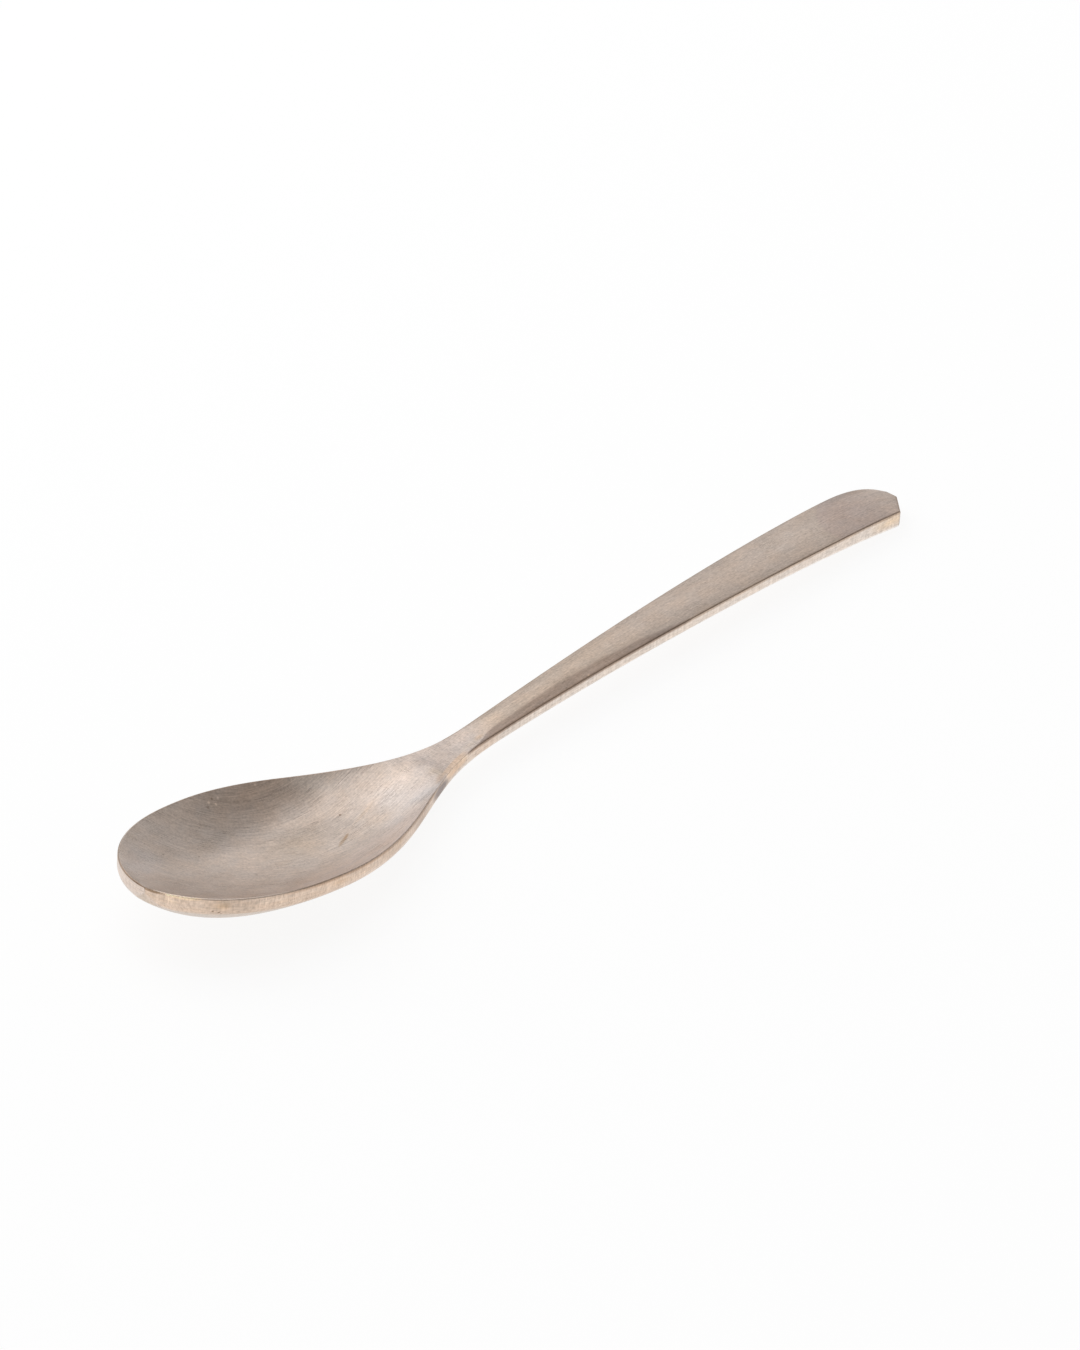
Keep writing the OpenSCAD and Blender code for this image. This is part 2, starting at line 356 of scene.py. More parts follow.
# Upper arris, side and lower rounding of one side, as columns of y, z and band. The band is 0 on top, 0.5
# at the arris' foot, 1 at the side's foot and 2 underneath.
# Arris: a quarter circle. Side: straight. Rounding: a circle from the vertical to the underside's tilt.
def sideStrip(x, side, sizes, c):
    half, topHalf, reach, tilt, lowHalf = sizes
    xs = x[:, None]
    a = np.radians(c["arrisSteps"])[None, :]
    arrisY = half - (half - topHalf) * (1 - np.sin(a))
    arrisZ = edgeHeight(xs, c) - arrisRound(xs, c) * (1 - np.cos(a))
    k = np.array(c["roundSteps"])[None, :]
    b = tilt + (math.pi / 2 - tilt) * k
    roundY = half - reach * (1 - np.sin(b))
    rise = lowRound(xs, c) * np.cos(tilt) - lift(xs, c)
    roundZ = underHeight(xs, lowHalf / half, c) + rise * (1 - np.cos(b) / np.cos(tilt))
    t = np.array(c["sideSteps"])[None, :]
    wallY = half + 0 * t
    wallZ = arrisZ[:, -1:] * (1 - t) + roundZ[:, :1] * t
    y = middleLine(xs, c) + side * np.hstack([arrisY, wallY, roundY])
    z = np.hstack([arrisZ, wallZ, roundZ])
    band = np.hstack([0.5 * a / (math.pi / 2), 0.5 + 0.5 * t, 2 - k]) + 0 * y
    return y, z, band


# Slope at which the resting line touches belly and end: halve the range until both touch at once
def restSlope(x, c):
    z = underHeight(x, 0 * x, c)
    low, high, halvings = -0.5, 1.0, 40
    for _ in range(halvings):
        m = (low + high) / 2
        gap = z - m * x
        if gap[x > c["length"] / 2].min() > gap[x < c["length"] / 2].min():
            low = m
        else:
            high = m
    return (low + high) / 2


# Places of the sections along the spoon: even, and closer together toward the tip and the end as a square
def rowPlaces(c):
    counts = [c[k] for k in ("frontRows", "bodyRows", "roundRows", "endRows")]
    front, body, turn, end = [np.linspace(0, 1, n + 1)[1:] for n in counts]
    roundX, cutX, gap = c["length"] - c["endRound"], c["length"] - c["endCut"], c["endGap"]
    return np.concatenate([
        gap + (c["widestAt"] - gap) * np.append(0, front) ** 2,
        c["widestAt"] + (roundX - c["widestAt"]) * body,
        roundX + (cutX - roundX) * turn,
        c["length"] - gap - (c["endCut"] - gap) * (1 - end) ** 2])


# Places across from -1 to 1: part sine, which crowds them toward the edges, and part even
def columnPlaces(columns, c):
    even = np.linspace(-1, 1, columns + 1)
    return c["crowding"] * np.sin(even * math.pi / 2) + (1 - c["crowding"]) * even


# All points: sections across, joined into a grid of rows and columns, and turned to rest on the table
def spoonGrid(c):
    x = rowPlaces(c)
    xs = x[:, None]
    left, right = sideSizes(x, 1, c), sideSizes(x, -1, c)
    leftHalf, leftTop, _, _, leftLow = left
    rightHalf, rightTop, _, _, rightLow = right
    line = middleLine(xs, c)
    topS = columnPlaces(c["topColumns"], c)
    topY, topZ = line + topS * np.where(topS > 0, leftTop, rightTop), topHeight(xs, topS, leftHalf, c)
    underS = -columnPlaces(c["underColumns"], c)
    underSide = underS * np.where(underS > 0, leftLow, rightLow)
    underZ = underHeight(xs, underSide / np.where(underS > 0, leftHalf, rightHalf), c)
    leftY, leftZ, leftBand = sideStrip(x, 1, left, c)
    rightY, rightZ, rightBand = [v[:, ::-1] for v in sideStrip(x, -1, right, c)]
    y = np.hstack([topY, leftY, line + underSide, rightY])
    z = np.hstack([topZ, leftZ, underZ, rightZ])
    band = np.hstack([0 * topY, leftBand, 0 * underZ + 2, rightBand])
    xAll = xs + 0 * y
    angle = math.atan(restSlope(x, c))
    turnedX = xAll * math.cos(angle) + z * math.sin(angle)
    turnedZ = z * math.cos(angle) - xAll * math.sin(angle)
    middle = (turnedX.min() + turnedX.max()) / 2
    points = np.stack([turnedX - middle, y, turnedZ - turnedZ.min()], -1) * millimetre
    half = np.where(y > line, leftHalf, rightHalf)
    slope = np.where(y > line, outlineSlope(xs, 1, c), outlineSlope(xs, -1, c))
    inward = np.maximum(half - np.abs(y - line), 0) / np.sqrt(1 + slope ** 2)
    across = (y - line) / half
    return points, {"x": xAll, "y": y, "z": z, "band": band, "inward": inward, "share": across}, middle


# A closed skin from a grid: quads between neighbouring rows and columns, and one face over each end
def skinFromGrid(name, points, attributes):
    rows, columns = points.shape[:2]
    index = np.arange(rows * columns).reshape(rows, columns)
    here, ahead = index[:-1], index[1:]
    quads = np.stack([here, ahead, np.roll(ahead, -1, 1), np.roll(here, -1, 1)], -1).reshape(-1, 4)
    ends = [index[0].tolist(), index[-1][::-1].tolist()]
    mesh = bpy.data.meshes.new(name)
    mesh.from_pydata(points.reshape(-1, 3), [], quads.tolist() + ends)
    mesh.shade_smooth()
    for key, values in attributes.items():
        stacked = np.stack([np.broadcast_to(v, (rows, columns)) for v in values], -1)
        layer = mesh.attributes.new(key, "FLOAT_VECTOR", "POINT")
        layer.data.foreach_set("vector", stacked.astype(np.float32).ravel())
    thing = bpy.data.objects.new(name, mesh)
    bpy.context.scene.collection.objects.link(thing)
    return thing


# Brush lines of the bowl: each follows y minus the running sum of a slope. The slope is the lean at the
# tip, eased to nothing over the turn, plus the slope that stays.
def brushLines(x, y, c):
    places = np.linspace(0, c["length"], c["brushPlaces"])
    slope = c["brushLean"] * (1 - ease(share(places, *c["brushTurn"]))) + c["brushSlope"]
    bend = np.cumsum(slope) * (places[1] - places[0])
    return y - np.interp(x, places, bend), x


# Wedge of painted shade along the handle's right edge: (width - distance from the edge) over its softness,
# which grows along the handle. The width runs straight between the listed places, and outside them is none.
def wedge(x, inward, c):
    width = np.interp(x, c["wedgeAt"], c["wedgeWidth"], -1, -1)
    return (width - inward) / (c["wedgeSoft"] + c["wedgeSoftenBy"] * share(x, *c["wedgeSoften"]))


points, facts, middle = spoonGrid(spoonShape)
brushAcross, brushAlong = brushLines(facts["x"], facts["y"], spoonShape)
nothing = 0 * facts["x"]
spoon = skinFromGrid("tablespoon", points, {
    "place": (facts["x"], facts["y"], facts["z"]),
    "zone": (facts["band"], facts["inward"], facts["share"]),
    "brush": (brushAcross, brushAlong, edgeHeight(facts["x"], spoonShape) - facts["z"]),
    # the wedge of painted shade along the handle's right edge
    "paintedWedge": (wedge(facts["x"], facts["inward"], spoonShape), nothing, nothing),
})
print("spoon surface made,", len(spoon.data.polygons), "faces")


# The metal

metalLook = {
    # Tones on top: bowl, neck, handle, its far part and its end. Then the bowl's edge, the handle's edge and
    # the underside.
    "bowlTone": (0.68, 0.57, 0.495, 1), "neckTone": (0.685, 0.582, 0.52, 1),
    "handleTone": (0.63, 0.505, 0.41, 1), "farTone": (0.62, 0.505, 0.425, 1),
    "endTone": (0.585, 0.467, 0.406, 1),
    # The handle's edge tone is set lighter than the tones on top: painted reflection on the same metal
    "bandTone": (0.72, 0.565, 0.45, 1), "sideTone": (0.77, 0.67, 0.59, 1),
    "underTone": (0.64, 0.53, 0.44, 1),
    # The end's darker patch: where it begins along the handle, and how its edge bends toward the end left of
    # patchBendFrom
    "patchFrom": 178.0, "patchBend": 0.075, "patchBendFrom": -4.0,
    "roughness": 0.3, "roughnessSpan": 0.12,
    # How far each pattern lightens and darkens the metal, and the tints of cooler and warmer metal
    "lineShade": 0.5, "fineShade": 0.75, "grainShade": 0.7, "cloudShade": 0.3,
    "coolTint": (0.985, 1.0, 1.018, 1), "warmTint": (1.015, 0.997, 0.98, 1),
    # Height of fine lines and grain beside the lines' 1, and the bump, whose distance is in metres
    "fineHeight": 0.5, "grainHeight": 0.4, "bumpStrength": 0.2, "bumpDistance": 0.0001,
    # Patterns: changes per mm in the first and the second direction, detail, and an offset of their own
    "patterns": {
        "bowlLines": (4.5, 0.12, 1.0, 0), "bowlFine": (7.5, 0.5, 3.0, 19),         # across, along the brush
        "neckLines": (3.4, 0.28, 2.0, 7),                                          # along, across the spoon
        "handleLines": (2.8, 0.14, 2.0, 11), "handleFine": (6.5, 0.8, 3.0, 23),    # across, along it
        "wallLines": (0.4, 4.5, 2.0, 15), "wallFine": (0.9, 6.5, 3.0, 27),         # along, down the edge
        "cloud": (0.14, 0.3, 3.0, 0), "hue": (0.22, 0.3, 2.0, 31),                 # along, across the spoon
    },
    "cloudDepth": 0.3, "grainScale": 2.3, "grainDetail": 3.0, "grainRoughness": 0.6,
    "layerGap": 5.0, "wallGap": 3.0,          # keep top, side and underside, and left and right, apart
    # How far grain and hue push the marks about, in mm: along, across, and down the edge
    "wobble": 0.8, "sway": 0.6, "dropSway": 0.3,
    # Where each look begins and ends: 0 at the first number, 1 at the second; or 0, 1, still 1, 0 again
    "steps": {
        # along the spoon, in mm
        "neckTone": (66, 74), "handle": (80, 90), "farTone": (112, 134), "sideTone": (66, 76),
        "endFade": (202, 188), "neckLines": (64, 71), "handleLines": (82, 90), "wallFine": (58, 70),
        "edgeShadeLine": (12, 24), "neckEdge": (64, 67, 78, 80), "tipLine": (16, 8), "tipTint": (8, 2),
        "nick": (0.5, 0.9, 3.4, 4.4), "lowReflectionTint": (26, 40), "lowEnd": (130, 170, 194, 200),
        "gold": (70, 72, 77, 79.5), "halfShadeTint": (112, 132, 190, 197), "wallReflectionTint": (20, 35, 64, 74),
        "patch": (-0.7, 0.7),                 # from the patch's beginning
        # band: 0 on top, 0.5 at the arris' foot, 1 at the side's foot, 2 underneath
        "offTop": (0.1, 0.5), "offWall": (1.7, 2.0), "underTone": (1.6, 2.0), "lowBand": (0.95, 1.25),
        "rim": (0.02, 0.12, 0.4, 0.55), "goldBand": (0.95, 0.75), "wedgeBand": (0.65, 0.5),
        # across: -1 on the right edge, 1 on the left
        "near": (0.05, -0.05), "tipLineSide": (-0.85, -0.7), "tipTintSide": (-0.95, -0.6),
        "halfSide": (0.3, -1), "wallSide": (-0.3, -0.65),
        # inward from the outline and down from the rim, in mm
        "edgeInward": (0.5, 0.12), "goldInward": (1.4, 0.9), "edgeDrop": (0.7, 0.3),
        # values of noise, and of the wedge
        "warm": (0.3, 0.7), "ripple": (0.52, 0.6), "nickGrain": (0.5, 0.7), "wedge": (-0.5, 0.5),
    },
    # Tints: what they multiply the tone by
    "edgeShadeLine": (0.72, 0.65, 0.59, 1),        # painted shade: a darker line just under the upper edge
    "tipLine": (0.42, 0.36, 0.31, 1),         # painted shade: a brown line along the tip's edge
    "nickAndGlintTint": (1.32, 1.27, 1.15, 1),        # nicks on the edge right of the tip, their brightness a painted highlight
    "tipTint": (1.02, 1.09, 1.19, 1),         # painted reflection: the edge round the tip and left of it, paler
    "lowReflectionTint": (1.11, 1.14, 1.17, 1),         # painted reflection: the rounding under the edge, paler, and again toward the end
    "lowEndReflectionTint": (1.10, 1.12, 1.15, 1),
    "wedgeShadeTint": (0.70, 0.67, 0.67, 1),       # painted shade: the wedge beside the right facet
    "wallReflectionTint": (1.10, 1.17, 1.26, 1),        # painted reflection: right wall of the bowl, lighter and cooler
    "halfShadeTint": (0.80, 0.80, 0.80, 1),        # painted shade: right half of the handle, darker
    "goldAndReflectionTint": (1.10, 0.99, 0.86, 1),        # gold patch on the neck's right edge, partly warm metal and partly painted reflection; painted highlight on its arris
    "arrisHighlightTint": (1.25, 1.25, 1.25, 1),
    "nickFine": 0.3, "wedgeGrain": 0.5,       # fine lines break up the nicks, and grain the wedge's edge
    # Marks: x, y or drop below the rim, turn, half length, half width, softness, and their tint
    "topMarks": [
        (48.4, -1.9, 25, 3.1, 0.55, 0.7, (0.78, 0.70, 0.60, 1)),       # tan stain, its core and its faint tail
        (49.7, -1.3, 25, 1.5, 0.35, 0.8, (0.84, 0.76, 0.68, 1)),
        (56.3, 0.9, 15, 5.6, 0.5, 0.9, (0.98, 0.95, 0.90, 1)),
        (43.0, 16.0, -14, 19, 7.5, 1.0, (0.815, 0.76, 0.715, 1)),      # darker, browner patch on the bowl's left wall
        (66.2, 1.4, 0, 2.2, 1.7, 1.0, (1.05, 1.05, 1.06, 1)),          # paler patch before the neck
        (72.3, 0.0, 90, 9.0, 1.8, 0.9, (0.89, 0.89, 0.90, 1)),         # painted shade: the neck's grey band and tan patch
        (69.6, -5.0, 32, 2.8, 1.2, 0.8, (0.84, 0.78, 0.72, 1)),
        (79.2, 0.4, 90, 2.1, 0.24, 0.8, (1.08, 1.09, 1.10, 1)),        # pale scratches across it
        (80.0, 0.7, 88, 1.9, 0.2, 0.8, (1.07, 1.08, 1.09, 1)),
        (75.6, 2.2, 90, 1.1, 0.2, 0.8, (1.07, 1.08, 1.09, 1)),
        (83.4, -1.6, 10, 1.6, 0.9, 0.9, (1.06, 0.97, 0.86, 1)),        # warmer patch, slow changes of tone
        (86.0, 0.3, 0, 10.0, 3.2, 1.0, (1.17, 1.17, 1.17, 1)),
        (80.5, -2.0, 0, 3.0, 1.2, 1.0, (1.08, 1.06, 1.02, 1)),
        (70.8, -3.0, 90, 3.2, 1.5, 1.0, (0.89, 0.88, 0.84, 1)),
        (73.0, 3.8, 0, 5.5, 2.6, 1.0, (1.15, 1.15, 1.15, 1)),
        (63.5, -1.0, 0, 8.0, 6.0, 1.0, (0.96, 1.0, 1.05, 1)),
        (113.0, -1.4, 0, 14.0, 2.0, 1.0, (0.90, 0.90, 0.90, 1)),
        (191.0, 5.8, 0, 10.0, 2.4, 1.0, (0.82, 0.82, 0.82, 1)),        # painted shade on the end's left edge
        (9.0, 9.5, 30, 10.0, 5.0, 1.0, (1.09, 1.12, 1.17, 1)),         # slow changes of tone in the bowl
        (15.0, -0.5, 0, 6.0, 5.0, 1.0, (1.05, 1.07, 1.09, 1)),
        (25.0, -7.0, 0, 7.0, 5.0, 1.0, (1.02, 1.06, 1.10, 1)),
        (42.0, 3.0, 0, 12.0, 6.5, 1.0, (0.92, 0.90, 0.86, 1)),
        (60.5, -7.5, -50, 4.5, 2.5, 1.0, (1.15, 1.13, 1.11, 1)),
        (54.0, 12.5, -40, 7.5, 3.8, 1.0, (1.14, 1.16, 1.16, 1)),
        (97.0, 1.4, 0, 8.0, 1.8, 1.0, (1.08, 1.08, 1.09, 1)),          # and on the handle
        (170.0, 1.5, 0, 10.0, 6.0, 1.0, (1.05, 1.08, 1.11, 1)),
        (186.0, 0.0, 0, 7.5, 7.0, 1.0, (0.92, 0.91, 0.91, 1)),
        (196.5, 5.5, 0, 5.5, 2.8, 1.0, (0.76, 0.72, 0.68, 1)),
        (112.0, 2.2, 12, 2.0, 0.25, 0.8, (1.10, 1.10, 1.10, 1)),       # a pale scratch
    ],
    "sideMarks": [
        (2.2, 0.2, 0, 1.9, 0.5, 0.6, (1.30, 1.25, 1.12, 1)),           # nicked edge at the tip, its brightness a painted highlight
        (1.1, 1.0, 60, 0.9, 0.45, 0.9, (1.30, 1.30, 1.25, 1)),         # a glint
        (0.2, 0.15, 0, 0.55, 0.45, 0.6, (0.52, 0.44, 0.36, 1)),        # brown smear on the tip's edge
        (6.2, 1.2, 0, 1.8, 1.3, 1.0, (1.0, 0.93, 0.82, 1)),            # warmer patches along the edge
        (28.0, 1.2, 0, 3.5, 0.9, 1.0, (1.03, 0.97, 0.89, 1)),
        (47.0, 0.8, 0, 1.6, 0.5, 1.0, (1.02, 0.98, 0.88, 1)),
        (68.0, 1.2, 3, 4.8, 1.5, 0.6, (0.36, 0.34, 0.37, 1)),          # painted shade: dark sliver under the neck
        (7.5, 1.3, 0, 7.0, 3.0, 1.0, (0.84, 0.84, 0.84, 1)),           # slow changes of tone along the edge
        (46.0, 1.5, 0, 9.0, 3.5, 1.0, (0.86, 0.83, 0.80, 1)),
        (58.0, 1.5, 0, 7.0, 3.5, 1.0, (0.69, 0.64, 0.60, 1)),
        (83.0, 1.0, 0, 6.5, 2.4, 1.0, (0.96, 0.88, 0.82, 1)),
        (200.0, 1.8, 0, 7.0, 3.5, 0.8, (0.89, 0.77, 0.63, 1)),
        (75.0, 0.9, 0, 4.5, 1.6, 0.8, (0.86, 0.80, 0.76, 1)),
        (192.0, 1.3, 0, 7.0, 1.7, 1.0, (1.03, 0.94, 0.80, 1)),
    ],
    # Specks: x, y or drop, half length, half width, and their tint
    "topSpecks": [
        (53.6, 4.0, 0.32, 0.3, (0.42, 0.37, 0.33, 1)),
        (28.7, 0.3, 0.34, 0.3, (0.72, 0.70, 0.68, 1)),
        (23.7, 9.7, 0.32, 0.3, (0.70, 0.68, 0.66, 1)),
        (16.8, 11.8, 0.34, 0.3, (0.70, 0.68, 0.66, 1)),
        (34.2, 17.9, 0.4, 0.34, (1.4, 1.38, 1.35, 1)),         # pits, with a painted sparkle and painted shade on their sides
        (35.3, 17.2, 0.34, 0.3, (1.4, 1.38, 1.35, 1)),
        (36.4, 17.8, 0.36, 0.3, (1.35, 1.35, 1.35, 1)),
        (35.2, 18.2, 0.3, 0.28, (0.66, 0.62, 0.58, 1)),
        (33.4, 17.3, 0.3, 0.28, (0.70, 0.66, 0.62, 1)),
        (44.5, 16.5, 0.34, 0.3, (1.25, 1.25, 1.25, 1)),
        (110.3, -3.6, 0.45, 0.25, (1.4, 1.35, 1.25, 1)),       # a glint on the handle
    ],
    "sideSpecks": [
        (5.1, 2.3, 0.2, 0.24, (0.42, 0.38, 0.34, 1)),
        (5.9, 2.55, 0.22, 0.24, (0.42, 0.38, 0.34, 1)),
        (6.3, 2.85, 0.2, 0.16, (0.55, 0.50, 0.46, 1)),
    ],
    "speckSoft": 0.7,
    # Small casting ripples low on the bowl's edge: their mark, then changes per mm, lean, offset and detail
    "ripples": (21.5, 2.2, 0, 3.0, 0.6, 1.0, (0.74, 0.69, 0.65, 1)),
    "rippleScale": 2.2, "rippleLean": 1.4, "rippleOffset": 41.0, "rippleDetail": 2.0,
}


class Surface:
    # The spoon's own coordinates as wires: x, y, z; the band from top to underside; inward from the
    # outline; across from right to left; across and along the bowl's brush lines; the drop below the rim;
    # the wedge of painted shade. Then masks: the top, the wall between top and underside, the near side
    # (right), the rim's arris and the handle.
    def __init__(self, m, look):
        at = look["steps"]
        self.x, self.y, self.z = m.attribute("place")
        self.band, self.inward, self.across = m.attribute("zone")
        self.brushAcross, self.brushAlong, self.drop = m.attribute("brush")
        self.wedge = m.attribute("paintedWedge")[0]
        self.top = 1 - self.band.step(*at["offTop"])
        self.wall = (1 - self.top) * (1 - self.band.step(*at["offWall"]))
        self.near = self.across.step(*at["near"])
        self.rim = self.band.between(*at["rim"])
        self.handle = self.x.step(*at["handle"])


# Lines that follow the bowl, cross the neck and run along the handle and the edge; fine lines that do so
# too but for the neck; grain; and slow clouds of light and of hue
def brushPatterns(m, s, look):
    def pattern(name, first, second, third):
        firstScale, secondScale, detail, offset = look["patterns"][name]
        return m.noise(first * firstScale, second * secondScale, third + offset, detail)

    at, x, y = look["steps"], s.x, s.y
    layer, wallLayer = s.band * look["layerGap"], s.across * look["wallGap"]
    lines = pattern("bowlLines", s.brushAcross, s.brushAlong, layer)
    lines = m.blend(x.step(*at["neckLines"]), lines, pattern("neckLines", x, y, layer))
    lines = m.blend(x.step(*at["handleLines"]), lines, pattern("handleLines", y, x, layer))
    lines = m.blend(s.wall, lines, pattern("wallLines", x, s.drop, wallLayer))
    fine = pattern("bowlFine", s.brushAcross, s.brushAlong, layer)
    fine = m.blend(s.handle, fine, pattern("handleFine", y, x, layer))
    fine = m.blend(s.wall * x.step(*at["wallFine"]), fine, pattern("wallFine", x, s.drop, wallLayer))
    size = look["grainScale"]
    grain = m.noise(x * size, y * size, s.z * size + layer, look["grainDetail"], look["grainRoughness"])
    depth = s.z * look["cloudDepth"] + layer
    return lines, fine, grain, pattern("cloud", x, y, depth), pattern("hue", x, y, depth)


# Tone of each region: bowl, neck, handle and the patch on its end, then the edge, then the underside
def regionTone(m, s, look):
    at, x = look["steps"], s.x
    tone = m.mix(x.step(*at["neckTone"]), look["bowlTone"], look["neckTone"])
    tone = m.mix(s.handle, tone, look["handleTone"])
    tone = m.mix(x.step(*at["farTone"]), tone, look["farTone"])
    bend = look["patchBend"] * (s.y - look["patchBendFrom"]).math("MAXIMUM", 0.0) ** 2
    patch = (x - (look["patchFrom"] + bend)).step(*at["patch"])
    tone = m.mix(patch * x.step(*at["endFade"]), tone, look["endTone"])
    edge = m.mix(x.step(*at["sideTone"]), look["bandTone"], look["sideTone"])
    tone = m.mix(s.top, edge, tone)
    return m.mix(s.band.step(*at["underTone"]), tone, look["underTone"])


# Each mark tints the tone inside its ellipse of the plan
def marked(m, tone, plan, where, marks):
    for x, y, turn, long, wide, soft, colour in marks:
        tone = m.tint(m.spot(plan, x, y, turn, long, wide, soft) * where, tone, colour)
    return tone


# Specks are small marks without a turn, all as soft
def specked(m, tone, plan, where, specks, soft):
    marks = [(x, y, 0, long, wide, soft, colour) for x, y, long, wide, colour in specks]
    return marked(m, tone, plan, where, marks)


# Marks on top and on the near edge, specks on both, and the ripples. Grain and hue push the marks about,
# and the specks stay put.
def allMarks(m, s, look, tone):
    edge = s.wall * s.near
    plan = m.vector(s.wobbledX, s.y + look["sway"] * s.hue.swing())
    edgePlan = m.vector(s.wobbledX, s.drop + look["dropSway"] * s.hue.swing())
    tone = marked(m, tone, plan, s.top, look["topMarks"])
    tone = marked(m, tone, edgePlan, edge, look["sideMarks"])
    tone = specked(m, tone, m.vector(s.x, s.y), s.top, look["topSpecks"], look["speckSoft"])
    tone = specked(m, tone, m.vector(s.x, s.drop), edge, look["sideSpecks"], look["speckSoft"])
    size = look["rippleScale"]
    alongEdge = s.x * size + s.drop * look["rippleLean"]
    ripple = m.noise(alongEdge, s.drop * size, look["rippleOffset"], look["rippleDetail"])
    return marked(m, tone, edgePlan, ripple.step(*look["steps"]["ripple"]) * edge, [look["ripples"]])


# Along the edges: painted shade in the line under the upper edge and in the tip's brown line, nicks with a
# painted highlight, and painted reflection in the paler stretches
def edgeTints(m, s, look, tone):
    at, x, across = look["steps"], s.x, s.across
    line = s.inward.step(*at["edgeInward"]) * s.drop.step(*at["edgeDrop"])
    line = line * (1 - x.between(*at["neckEdge"])) * x.step(*at["edgeShadeLine"])
    tone = m.tint(line, tone, look["edgeShadeLine"])
    tone = m.tint(s.rim * x.step(*at["tipLine"]) * across.step(*at["tipLineSide"]), tone, look["tipLine"])
    broken = (s.grain + look["nickFine"] * s.fine).step(*at["nickGrain"])
    tone = m.tint(s.rim * x.between(*at["nick"]) * s.near * broken, tone, look["nickAndGlintTint"])
    tip = x.step(*at["tipTint"]) * across.step(*at["tipTintSide"])
    tone = m.tint(tip * s.wall * (1 - s.rim), tone, look["tipTint"])
    low = s.band.step(*at["lowBand"])
    tone = m.tint(x.step(*at["lowReflectionTint"]) * low, tone, look["lowReflectionTint"])
    return m.tint(x.between(*at["lowEnd"]) * low, tone, look["lowEndReflectionTint"])


# Painted light: the gold patch, partly warm metal and partly reflection, with a highlight on its arris; the
# shaded wedge; the shaded right half of the handle; and the lighter, cooler reflection on the bowl's right
# wall
def wideTints(m, s, look, tone):
    at, x, across = look["steps"], s.x, s.across
    gold = s.inward.step(*at["goldInward"]) * s.wobbledX.between(*at["gold"])
    gold = gold * s.near * s.band.step(*at["goldBand"])
    tone = m.tint(gold, tone, look["goldAndReflectionTint"])
    tone = m.tint(gold * s.rim, tone, look["arrisHighlightTint"])
    dark = (s.wedge + look["wedgeGrain"] * s.grain.swing()).step(*at["wedge"])
    tone = m.tint(dark * s.near * s.band.step(*at["wedgeBand"]), tone, look["wedgeShadeTint"])
    tone = m.tint(across.step(*at["halfSide"]) * x.between(*at["halfShadeTint"]) * s.top, tone, look["halfShadeTint"])
    return m.tint(across.step(*at["wallSide"]) * x.between(*at["wallReflectionTint"]) * s.top, tone, look["wallReflectionTint"])


# The metal's colour: the region's tone, times one plus the patterns' swings, times marks and tints. Lines and
# clouds vary the roughness, and lines, fine lines and grain make the bump.
def brushedMetal(look):
    material = bpy.data.materials.new("brushed_champagne")
    material.use_nodes = True
    m = Maker(material.node_tree)
    s = Surface(m, look)
    s.lines, s.fine, s.grain, s.cloud, s.hue = brushPatterns(m, s, look)
    s.wobbledX = s.x + look["wobble"] * s.grain.swing()

    tone = regionTone(m, s, look)
    warmth = m.mix(s.hue.step(*look["steps"]["warm"]), look["coolTint"], look["warmTint"])
    tone = m.tint(1.0, tone, warmth)
    amount = 1 + look["lineShade"] * s.lines.swing() + look["fineShade"] * s.fine.swing()
    amount = amount + look["grainShade"] * s.grain.swing() + look["cloudShade"] * s.cloud.swing()
    tone = m.shade(tone, amount)
    tone = allMarks(m, s, look, tone)
    tone = edgeTints(m, s, look, tone)
    tone = wideTints(m, s, look, tone)

    span = look["roughnessSpan"]
    rough = look["roughness"] + span * s.lines.swing() + span * s.cloud.swing()
    height = s.lines + look["fineHeight"] * s.fine + look["grainHeight"] * s.grain
    bump = m.add("ShaderNodeBump", {},
                 {"Height": height, "Strength": look["bumpStrength"], "Distance": look["bumpDistance"]})
    shader = m.add("ShaderNodeBsdfPrincipled", {},
                   {"Base Color": tone, "Metallic": 1.0, "Roughness": rough, "Normal": bump})
    m.add("ShaderNodeOutputMaterial", {}, {"Surface": shader})
    return material


spoon.data.materials.append(brushedMetal(metalLook))
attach(spoon, "root")
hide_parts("spoon")
print("metal made")


# Table, light and camera

studio = {
    "floorSize": 4.0,
    "floorTone": (0.17, 0.17, 0.17, 1),
    "floorGlow": 0.87,       # of white, as the camera and the metal see it
    "worldTone": 0.385,
    "distance": 1.5, "size": 1.1,          # of each lamp
    "lamps": [               # name, compass direction, elevation, watts
        ("windowLow", 90, 15, 3.0),
        ("windowHigh", 90, 45, 3.6),
        ("backLow", 45, 15, 1.1),
        ("backHigh", 45, 45, 1.2),
        ("rightLow", 0, 15, 0.6),
        ("leftLow", 180, 15, 1.3),
        ("leftHigh", 160, 45, 0.9),
        ("ceilingBack", 45, 78, 2.0),
        ("ceilingFront", 225, 78, 1.1),
    ],
}


# A square soft lamp that faces the spoon from a compass direction (degrees from +X to +Y) and an elevation
def softLamp(c, name, direction, elevation, watts):
    light = bpy.data.lights.new(name, "AREA")
    light.size, light.energy = c["size"], watts
    turn, rise = math.radians(direction), math.radians(elevation)
    toLamp = Vector((math.cos(rise) * math.cos(turn), math.cos(rise) * math.sin(turn), math.sin(rise)))
    lamp = bpy.data.objects.new(name, light)
    lamp.location = toLamp * c["distance"]
    lamp.rotation_euler = toLamp.to_track_quat("Z", "Y").to_euler()
    bpy.context.scene.collection.objects.link(lamp)


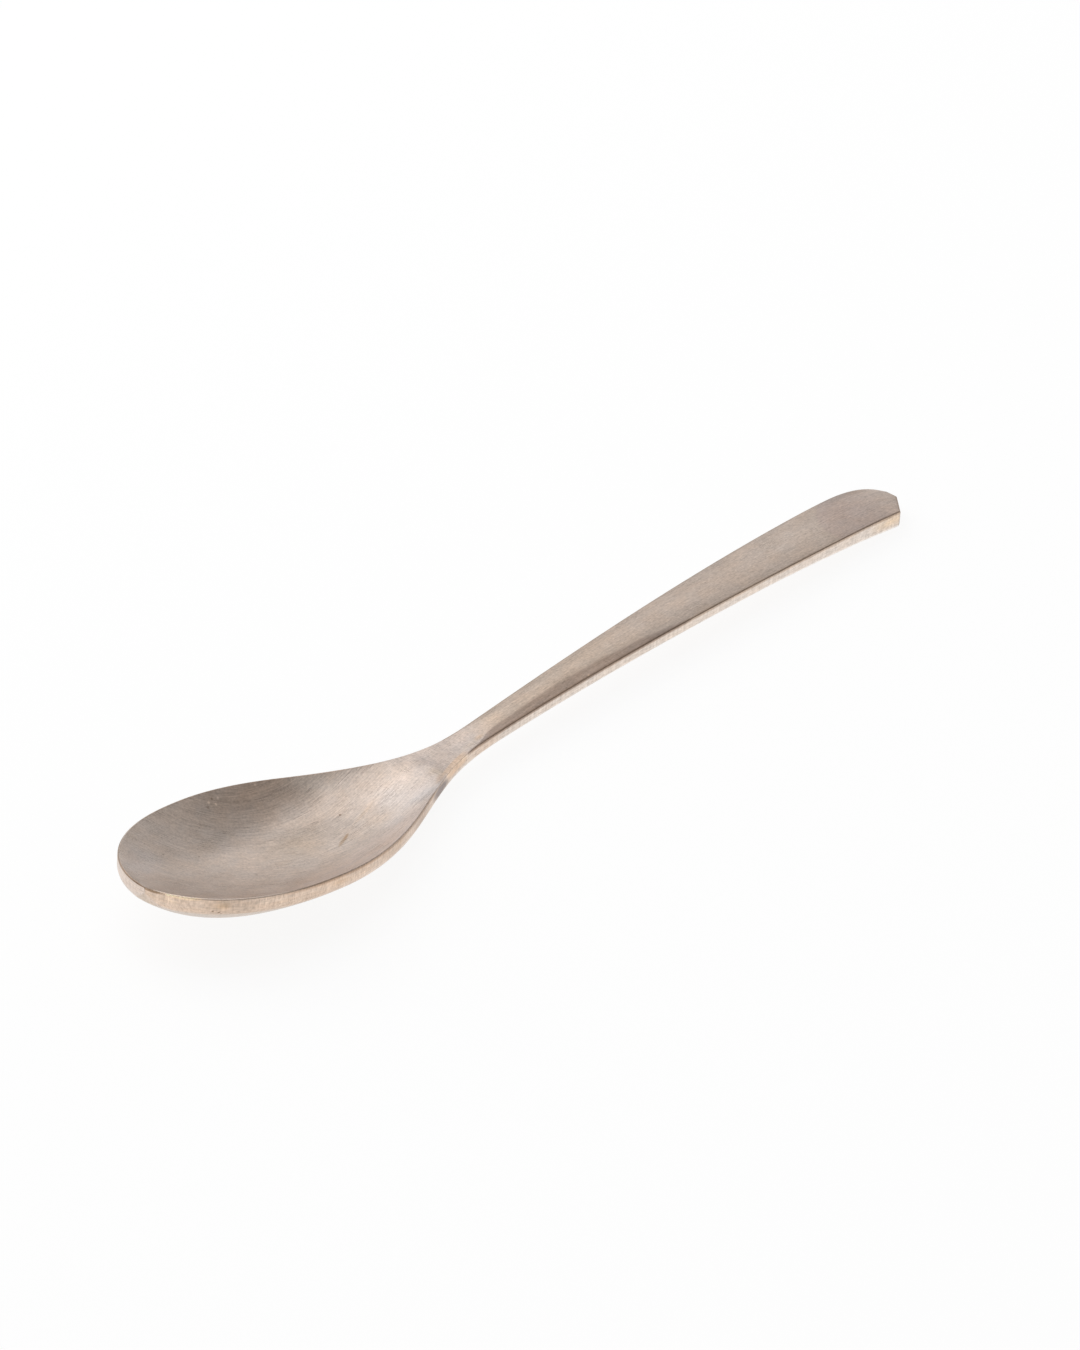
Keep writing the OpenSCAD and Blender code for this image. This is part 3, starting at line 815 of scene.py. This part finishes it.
def paleFloor(c):
    bpy.ops.mesh.primitive_plane_add(size=c["floorSize"], location=(0, 0, 0))
    floor = bpy.context.object
    floor.name = "floor"
    material = bpy.data.materials.new("table")
    material.use_nodes = True
    m = Maker(material.node_tree)
    byCamera = m.add("ShaderNodeLightPath", out="Is Camera Ray")
    seen = byCamera.math("MAXIMUM", m.add("ShaderNodeLightPath", out="Is Glossy Ray"))
    glow = m.add("ShaderNodeEmission", {}, {"Color": (1, 1, 1, 1), "Strength": seen * c["floorGlow"]})
    matt = m.add("ShaderNodeBsdfDiffuse", {}, {"Color": c["floorTone"]})
    both = m.add("ShaderNodeAddShader", {}, {0: glow, 1: matt})
    m.add("ShaderNodeOutputMaterial", {}, {"Surface": both})
    floor.data.materials.append(material)


# The same white light from all around
def evenWorld(c):
    world = bpy.data.worlds.new("studio")
    world.use_nodes = True
    bpy.context.scene.world = world
    m = Maker(world.node_tree)
    background = m.add("ShaderNodeBackground", {}, {"Color": (1, 1, 1, 1), "Strength": c["worldTone"]})
    m.add("ShaderNodeOutputWorld", {}, {"Surface": background})


paleFloor(studio)
evenWorld(studio)
for lampSettings in studio["lamps"]:
    softLamp(studio, *lampSettings)
print("table and light made")

viewpoint = {
    "heading": 46.5614,      # degrees from +X to the picture's right, turned toward -Y
    "elevation": 30.34, "roll": -3.1182,
    "distance": 1.3,         # metres from the camera to the point in the picture's middle
    "pixelsPerMm": 5.4344,   # at that distance
    "pictureHeight": 1350,   # pixels, the longer side, which the sensor's millimetres span
    "sensor": 36, "clipNear": 0.05, "clipFar": 20,
    "right": -69.6228,       # mm, place of the tip's origin to the right of the picture's middle
    "away": -90.3074,        # mm, and behind it
}


# Camera at its distance from the point in the picture's middle, looking down by its elevation, and rolled
# about its own axis
def photoCamera(c, middle):
    heading, elevation, roll = [math.radians(c[k]) for k in ("heading", "elevation", "roll")]
    right = Vector((math.cos(heading), -math.sin(heading), 0))
    away = Vector((math.sin(heading), math.cos(heading), 0))
    up = Vector((0, 0, 1))
    tip = Vector((-middle, 0, 0))
    target = (tip - right * c["right"] - away * c["away"]) * millimetre
    forward = away * math.cos(elevation) - up * math.sin(elevation)
    pictureUp = away * math.sin(elevation) + up * math.cos(elevation)
    side = right * math.cos(roll) + pictureUp * math.sin(roll)
    top = pictureUp * math.cos(roll) - right * math.sin(roll)
    place = target - forward * c["distance"]
    camera = bpy.data.objects.new("camera", bpy.data.cameras.new("camera"))
    camera.data.sensor_width = c["sensor"]
    camera.data.lens = c["pixelsPerMm"] * (c["distance"] / millimetre) * c["sensor"] / c["pictureHeight"]
    camera.data.clip_start, camera.data.clip_end = c["clipNear"], c["clipFar"]
    rows = [[side[i], top[i], -forward[i], place[i]] for i in range(3)]
    camera.matrix_world = Matrix(rows + [[0, 0, 0, 1]])
    bpy.context.scene.collection.objects.link(camera)
    bpy.context.scene.camera = camera


photoCamera(viewpoint, middle)
bpy.context.scene.view_settings.view_transform = "Standard"
print("camera placed")
